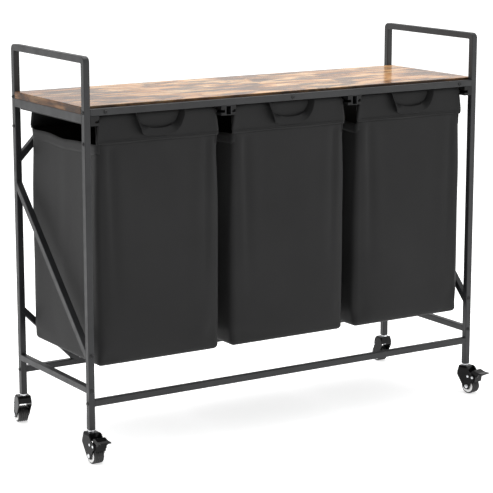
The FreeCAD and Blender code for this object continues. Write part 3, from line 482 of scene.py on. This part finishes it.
# a sleeve of cloth round the rod, sewn down along the hem; face is its outer Y, away the way out
def cuff(name, centre, face, away, seed):
    outline = []                      # (depth behind the face, height)
    hem, faceTop = bagShape["hem"], cuffShape["faceTop"]
    start = cuffShape["bendDepth"] - cuffShape["bendReach"]
    for k in range(9):
        bow = cuffShape["bow"] * math.sin(k / 8 * math.pi)
        outline.append((start + bow, hem + (faceTop - hem) * k / 8))
    for k in range(1, 10):
        a = math.radians(180 - 20 * k)
        outline.append((cuffShape["bendDepth"] + cuffShape["bendReach"] * math.cos(a),
                        cuffShape["bendHeight"] + cuffShape["bendRise"] * math.sin(a)))
    for k in range(1, 9):
        t = k / 8
        outline.append((cuffShape["backDepth"] - cuffShape["backSlope"] * smoothStep(0, 1, t),
                        faceTop - (faceTop - hem - cuffShape["backGap"]) * t))
    columns = cuffShape["columns"]
    points, uv, faces = [], [], []
    length = [0.0]
    for (a, b), (c, d) in zip(outline, outline[1:]):
        length.append(length[-1] + math.hypot(c - a, d - b))
    for i in range(columns + 1):
        t = 2 * i / columns - 1
        for (depth, z), run in zip(outline, length):
            share = max(0.0, (cuffShape["top"] - z) / (cuffShape["top"] - hem))
            half = cuffShape["topHalf"] + (cuffShape["lowHalf"] - cuffShape["topHalf"]) * share ** 0.8
            half -= cuffShape["tuck"] * smoothStep(0.84, 1.0, share)
            x = t * half
            edge = smoothStep(0.86, 1.0, abs(t))
            ripple = noise.noise(Vector((x * 16 + seed, z * 9, seed))) * cuffShape["ripple"]
            ripple += edge * share * cuffShape["endRipple"]
            y = face - away * (depth - cuffShape["proud"])
            droop = -cuffShape["endDroop"] * edge * (1 - share) + 0.0009 * math.sin(x * 34 + seed) * share
            ripple *= (1 - share ** 3) * (1 if depth < 0.006 else -0.3)
            points.append((centre + x, y + away * ripple, z + droop))
            uv.append((x, run))
    rows = len(outline)
    for i in range(columns):
        for k in range(rows - 1):
            a, b = i * rows + k, (i + 1) * rows + k
            faces.append((a, b, b + 1, a + 1))
    piece = meshPiece(name, points, faces, shadedCuffCloth, uv=uv)
    tidyNormals(piece)
    thicken(piece, cuffShape["thick"])
    return bakeDown(piece)


def tidyNormals(piece):
    work = bmesh.new()
    work.from_mesh(piece.data)
    bmesh.ops.recalc_face_normals(work, faces=work.faces)
    work.to_mesh(piece.data)
    work.free()


hemShape = {"rows": 3, "overlap": 3, "wall": 0.0011}    # rows down, columns past each corner


# the turned-over edge along each side panel's top, a second layer on the cloth
def hemBand(number, body, count, rows):
    mesh = body.data
    cells, turns = bagShape["sideCells"], bagShape["cornerCells"]
    perSide = cells + turns
    keepRows, past = hemShape["rows"], hemShape["overlap"]
    points, faces, uv = [], [], []
    for side in (1, 3):
        columns = [(side * perSide + i) % count for i in range(-past, cells + past + 1)]
        base = len(points)
        for row in range(rows - keepRows - 1, rows):
            for column in columns:
                vertex = mesh.vertices[row * count + column]
                points.append(vertex.co + vertex.normal * hemShape["wall"])
                uv.append((column * bagShape["column"], vertex.co.z))
        wide = len(columns)
        for row in range(keepRows):
            for i in range(wide - 1):
                a = base + row * wide + i
                faces.append((a, a + 1, a + wide + 1, a + wide))
    piece = meshPiece(f"bagHem_{number}", points, faces, finish["bag_fabric"], uv=uv)
    thicken(piece, hemShape["wall"])
    return bakeDown(piece)


stitch = {"length": 0.0030, "pitch": 0.0042, "radius": 0.00038,
          "rows": (0.0035, 0.0075), "proud": 0.0007, "endGap": 0.002, "steps": 40}


def threadTree(material):
    tree = bpy.data.node_groups.new("threadRow", "GeometryNodeTree")
    face = tree.interface
    face.new_socket("Geometry", in_out="INPUT", socket_type="NodeSocketGeometry")
    for label, value in (("Pitch", stitch["pitch"]), ("Length", stitch["length"]),
                         ("Radius", stitch["radius"])):
        socket = face.new_socket(label, in_out="INPUT", socket_type="NodeSocketFloat")
        socket.default_value = value
    face.new_socket("Geometry", in_out="OUTPUT", socket_type="NodeSocketGeometry")
    start = tree.nodes.new("NodeGroupInput")
    stop = tree.nodes.new("NodeGroupOutput")
    line = addNode(tree, "GeometryNodeMeshToCurve", Mesh=start.outputs[0])
    points = addNode(tree, "GeometryNodeCurveToPoints", {"mode": "LENGTH"}, Curve=line.outputs[0],
                     Length=start.outputs["Pitch"])
    thread = addNode(tree, "GeometryNodeMeshCylinder", Vertices=6, Radius=start.outputs["Radius"],
                     Depth=start.outputs["Length"])
    copies = addNode(tree, "GeometryNodeInstanceOnPoints", Points=points.outputs[0],
                     Instance=thread.outputs[0], Rotation=points.outputs["Rotation"])
    real = addNode(tree, "GeometryNodeRealizeInstances", Geometry=copies.outputs[0])
    painted = addNode(tree, "GeometryNodeSetMaterial", Geometry=real.outputs[0], Material=material)
    tree.links.new(painted.outputs[0], stop.inputs[0])
    return tree


thread = mouldedPlastic("sewingThread", (0.011, 0.011, 0.0113), 0.7, 900.0, 0.25)
stitchTree = threadTree(thread)


def stitchRows(name, lines):
    points, edges = [], []
    for line in lines:
        base = len(points)
        points += [tuple(p) for p in line]
        edges += [(base + i, base + i + 1) for i in range(len(line) - 1)]
    mesh = bpy.data.meshes.new(name)
    mesh.from_pydata(points, edges, [])
    piece = bpy.data.objects.new(name, mesh)
    scene.collection.objects.link(piece)
    made = piece.modifiers.new("threads", "NODES")
    made.node_group = stitchTree
    for item in stitchTree.interface.items_tree:
        if item.in_out == "INPUT" and item.name == "Pitch":
            made[item.identifier] = stitch["pitch"]
    bakeDown(piece)
    return piece


strapShape = {
    "half": 0.0105, "twist": 57.0, "wall": 0.0014, "steps": 48, "across": 6,
    "curl": 0.0008, "lean": -0.26,      # hollow of the band, and its lean at the bottom of the U
    "turnFrom": 0.028, "turnTo": 0.054,  # where it starts and ends turning inwards
    # the left arm's middle line, from the cuff's top down to the middle of the strap
    "arm": ((-0.0575, -0.0020, 0.7775), (-0.0560, -0.0050, 0.7690), (-0.0520, -0.0062, 0.7580),
            (-0.0450, -0.0062, 0.7460), (-0.0350, -0.0046, 0.7370), (-0.0200, -0.0030, 0.7328),
            (0.0, -0.0026, 0.7316)),
}


# a band that hangs in a U: flat to the front at the bottom, its arms turned inwards
def pullStrap(number, centre, face):
    path = list(strapShape["arm"])
    path = path + [(-x, y, z) for x, y, z in reversed(path[:-1])]
    steps = strapShape["steps"]
    points, uv, faces = [], [], []
    run = 0.0
    before = None
    for i in range(steps + 1):
        t = i / steps * (len(path) - 1)
        k = min(int(t), len(path) - 2)
        spot = catmull(path, k, t - k)
        ahead = catmull(path, min(k, len(path) - 2), min(1.0, t - k + 0.05))
        behind = catmull(path, k, max(0.0, t - k - 0.05))
        along = (ahead - behind).normalized()
        side = -1 if i <= steps / 2 else 1
        turn = math.radians(strapShape["twist"])
        arm = smoothStep(strapShape["turnFrom"], strapShape["turnTo"], abs(spot.x))
        inward = Vector((-side * math.cos(turn), math.sin(turn), 0))
        wide = (Vector((0, strapShape["lean"], 1)) * (1 - arm) + inward * arm).normalized()
        wide = (wide - along * wide.dot(along)).normalized()
        if before:
            run += (spot - before).length
        before = spot
        half, cells = strapShape["half"], strapShape["across"]
        for across in range(cells + 1):
            share = 2 * across / cells - 1
            curl = along.cross(wide) * (strapShape["curl"] * (share * share - 1)) * -1
            p = spot + wide * (half * share) + curl
            points.append((centre + p.x, face + p.y, p.z))
            uv.append((share * half, run))
    for i in range(steps):
        for k in range(cells):
            a = i * (cells + 1) + k
            faces.append((a, a + cells + 1, a + cells + 2, a + 1))
    piece = meshPiece(f"pullStrap_{number}_band", points, faces, finish["strap_webbing"], uv=uv)
    thicken(piece, strapShape["wall"], 0.0)
    subdivide(piece, 1)
    return bakeDown(piece)


def catmull(path, k, t):
    a, b, c, d = (Vector(path[max(0, min(len(path) - 1, k + o))]) for o in (-1, 0, 1, 2))
    bend = 2 * a - 5 * b + 4 * c - d
    return 0.5 * ((2 * b) + (c - a) * t + bend * t * t + (3 * b - a - 3 * c + d) * t ** 3)


def makeBag(number):
    low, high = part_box(f"bag_{number}")
    centre, full = (low.x + high.x) / 2, (high.x - low.x) / 2
    seed = 1.7 * number
    body, count, rows = bagBody(number, centre, low.y, high.y, low.z, full, seed)
    heldFoot = low.z + bagShape["foot"] + clothRun["heldAtFoot"]
    hangCloth(body, count, heldFoot, bagShape["hem"] - clothRun["heldAtHem"])
    hem = hemBand(number, body, count, rows)
    thicken(body, bagShape["wall"], even=False)
    bakeDown(body)
    frontCuff = cuff(f"bagCuffFront_{number}", centre, low.y, -1, seed)
    rearCuff = cuff(f"bagCuffRear_{number}", centre, high.y, 1, seed + 4)
    lines = []
    for face, away in ((low.y, -1), (high.y, 1)):
        for rise in stitch["rows"]:
            half, steps = cuffShape["lowHalf"] - stitch["endGap"], stitch["steps"]
            y, z = face + away * stitch["proud"], bagShape["hem"] + rise
            lines.append([(centre + half * (2 * i / steps - 1), y, z) for i in range(steps + 1)])
    threads = stitchRows(f"bagStitches_{number}", lines)
    strap = pullStrap(number, centre, low.y)
    for piece, slot in ((body, "bag_fabric"), (hem, "bag_fabric"), (frontCuff, "bag_fabric"),
                        (rearCuff, "bag_fabric"), (threads, "bag_fabric"), (strap, "strap_webbing")):
        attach(piece, f"bag_set_{number}")
    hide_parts(f"bag_{number}")
    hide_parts(f"pull_strap_{number}")
    print("bag", number, "done")


for number in (1, 2, 3):
    makeBag(number)


tyre = {"width": 0.026, "core": 0.0180, "outer": 0.0195, "bore": 0.016, "shoulder": 0.0024,
        "ribs": 5, "ribHalf": 0.0015, "turns": 60}
corners = ("front_left", "front_right", "rear_left", "rear_right")


# rings round the tread, one at each point of a short line along the axle
def ribTree(material):
    tree = bpy.data.node_groups.new("treadRibs", "GeometryNodeTree")
    face = tree.interface
    face.new_socket("Geometry", in_out="INPUT", socket_type="NodeSocketGeometry")
    for label in ("Ring radius", "Rib half width", "Turn"):
        face.new_socket(label, in_out="INPUT", socket_type="NodeSocketFloat")
    face.new_socket("Geometry", in_out="OUTPUT", socket_type="NodeSocketGeometry")
    start = tree.nodes.new("NodeGroupInput")
    stop = tree.nodes.new("NodeGroupOutput")
    ring = addNode(tree, "GeometryNodeCurvePrimitiveCircle", Resolution=tyre["turns"],
                   Radius=start.outputs["Ring radius"])
    section = addNode(tree, "GeometryNodeCurvePrimitiveCircle", Resolution=8,
                      Radius=start.outputs["Rib half width"])
    rib = addNode(tree, "GeometryNodeCurveToMesh", Curve=ring.outputs[0], Profile_Curve=section.outputs[0])
    turn = addNode(tree, "ShaderNodeCombineXYZ", X=0.0, Y=math.pi / 2, Z=start.outputs["Turn"])
    copies = addNode(tree, "GeometryNodeInstanceOnPoints", Points=start.outputs["Geometry"],
                     Instance=rib.outputs[0], Rotation=turn.outputs[0])
    real = addNode(tree, "GeometryNodeRealizeInstances", Geometry=copies.outputs[0])
    painted = addNode(tree, "GeometryNodeSetMaterial", Geometry=real.outputs[0], Material=material)
    tree.links.new(painted.outputs[0], stop.inputs[0])
    return tree


treadTree = ribTree(finish["tyre_rubber"])


def makeTyre(name):
    spin = next(j for j in frame["record"]["behaviour"]["joints"] if j["name"] == f"{name}_spin")
    hub, axle = Vector(spin["pos_m"]), Vector(spin["axis"]).normalized()
    side = Vector((0, 0, 1)).cross(axle)
    half, r, edge = tyre["width"] / 2, tyre["core"], tyre["shoulder"]
    profile = [(tyre["bore"], -half), (tyre["bore"], half), (r - edge, half),
               (r - edge * 0.3, half - edge * 0.3), (r, half - edge), (r, -half + edge),
               (r - edge * 0.3, -half + edge * 0.3), (r - edge, -half)]
    turns, count = tyre["turns"], len(profile)
    points, faces = [], []
    for i in range(turns):
        a = 2 * math.pi * i / turns
        out = Vector((0, 0, 1)) * math.cos(a) + side * math.sin(a)
        points += [hub + axle * u + out * rad for rad, u in profile]
        for k in range(count):
            j, onward = (i + 1) % turns, (k + 1) % count
            faces.append((i * count + k, i * count + onward, j * count + onward, j * count + k))
    body = meshPiece(f"{name}_tyreBody", points, faces, finish["tyre_rubber"], smooth=False)
    tidyNormals(body)
    ribs, reach = tyre["ribs"], half - edge - tyre["ribHalf"] * 0.4
    mesh = bpy.data.meshes.new(f"{name}_tread")
    mesh.from_pydata([hub + axle * (reach * (2 * i / (ribs - 1) - 1)) for i in range(ribs)], [], [])
    tread = bpy.data.objects.new(f"{name}_tread", mesh)
    scene.collection.objects.link(tread)
    made = tread.modifiers.new("ribs", "NODES")
    made.node_group = treadTree
    sizes = {"Ring radius": tyre["outer"] - tyre["ribHalf"], "Rib half width": tyre["ribHalf"],
             "Turn": math.atan2(axle.y, axle.x)}
    for item in treadTree.interface.items_tree:
        if item.in_out == "INPUT" and item.name in sizes:
            made[item.identifier] = sizes[item.name]
    bakeDown(tread)
    tread.data.polygons.foreach_set("use_smooth", [True] * len(tread.data.polygons))
    for piece in (body, tread):
        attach(piece, f"{name}_wheel")
    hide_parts(f"{name}_tyre")


for corner in corners:
    makeTyre(corner)
print("tyres are on their hubs")


studio = {
    "floorSize": 60.0, "floor": (0.93, 0.93, 0.93), "sky": 0.9, "dim": 0.10,
    "boxAim": (0, 0, 0.4),
    # name, place, width, height and power of each soft box
    "boxes": (("leftBox", (-3.6, 0.9, 1.9), 3.0, 2.6, 34), ("rightBox", (2.6, -3.4, 1.8), 3.2, 2.8, 24),
              ("topBox", (0.4, 0.6, 3.6), 3.0, 2.0, 60)),
    "lens": 137.9, "distance": 4.58, "azimuth": 32.36, "elevation": 11.54, "aim": (-0.0127, 0.014, 0.4051),
}


def makeFloor():
    half = studio["floorSize"] / 2
    material, tree, shader = newMaterial("paleFloor", studio["floor"], 0.9, Specular_IOR_Level=0.0,
                                         Emission_Color=(1, 1, 1, 1), Emission_Strength=0.55)
    floor = meshPiece("floor", [(-half, -half, 0), (half, -half, 0), (half, half, 0), (-half, half, 0)],
                      [(0, 1, 2, 3)], material, smooth=False)


def softBox(name, spot, aim, wide, tall, power):
    light = bpy.data.lights.new(name, "AREA")
    light.shape = "RECTANGLE"
    light.size, light.size_y = wide, tall
    light.energy = power
    lamp = bpy.data.objects.new(name, light)
    lamp.location = spot
    lamp.rotation_mode = "QUATERNION"
    lamp.rotation_quaternion = (Vector(aim) - Vector(spot)).to_track_quat("-Z", "Y")
    scene.collection.objects.link(lamp)


def makeLight():
    world = bpy.data.worlds.new("studioSky")
    world.use_nodes = True
    tree = world.node_tree
    lit = tree.nodes["Background"]
    # bright to the left, the back and above, dim towards the front left corner
    way = tree.nodes.new("ShaderNodeTexCoord").outputs["Generated"]
    a = math.radians(studio["azimuth"])
    towards = addNode(tree, "ShaderNodeVectorMath", {"operation": "DOT_PRODUCT"}, Vector=way)
    towards.inputs[1].default_value = (-math.sin(a), -math.cos(a), -0.25)
    shade = ramp(tree, towards.outputs["Value"], (0.30, 1.0), (0.95, studio["dim"]))
    tree.links.new(shade, lit.inputs["Color"])
    lit.inputs["Strength"].default_value = studio["sky"]
    plain = addNode(tree, "ShaderNodeBackground", Strength=1.0)
    seen = tree.nodes.new("ShaderNodeLightPath").outputs["Is Camera Ray"]
    both = tree.nodes.new("ShaderNodeMixShader")
    tree.links.new(seen, both.inputs[0])
    tree.links.new(lit.outputs[0], both.inputs[1])
    tree.links.new(plain.outputs[0], both.inputs[2])
    tree.links.new(both.outputs[0], tree.nodes["World Output"].inputs["Surface"])
    plain.inputs["Color"].default_value = (1, 1, 1, 1)
    scene.world = world
    for name, spot, wide, tall, power in studio["boxes"]:
        softBox(name, spot, studio["boxAim"], wide, tall, power)


def makeCamera():
    a, e = math.radians(studio["azimuth"]), math.radians(studio["elevation"])
    back = Vector((-math.sin(a) * math.cos(e), -math.cos(a) * math.cos(e), math.sin(e)))
    lens = bpy.data.cameras.new("mainCamera")
    lens.lens = studio["lens"]
    lens.sensor_width = 36.0
    lens.clip_start, lens.clip_end = 0.05, 200.0
    camera = bpy.data.objects.new("mainCamera", lens)
    camera.location = Vector(studio["aim"]) + back * studio["distance"]
    camera.rotation_mode = "QUATERNION"
    camera.rotation_quaternion = (-back).to_track_quat("-Z", "Y")
    scene.collection.objects.link(camera)
    scene.camera = camera


makeFloor()
makeLight()
makeCamera()
scene.view_settings.view_transform = "Standard"
print("floor, light and camera are set")

bpy.context.view_layer.update()
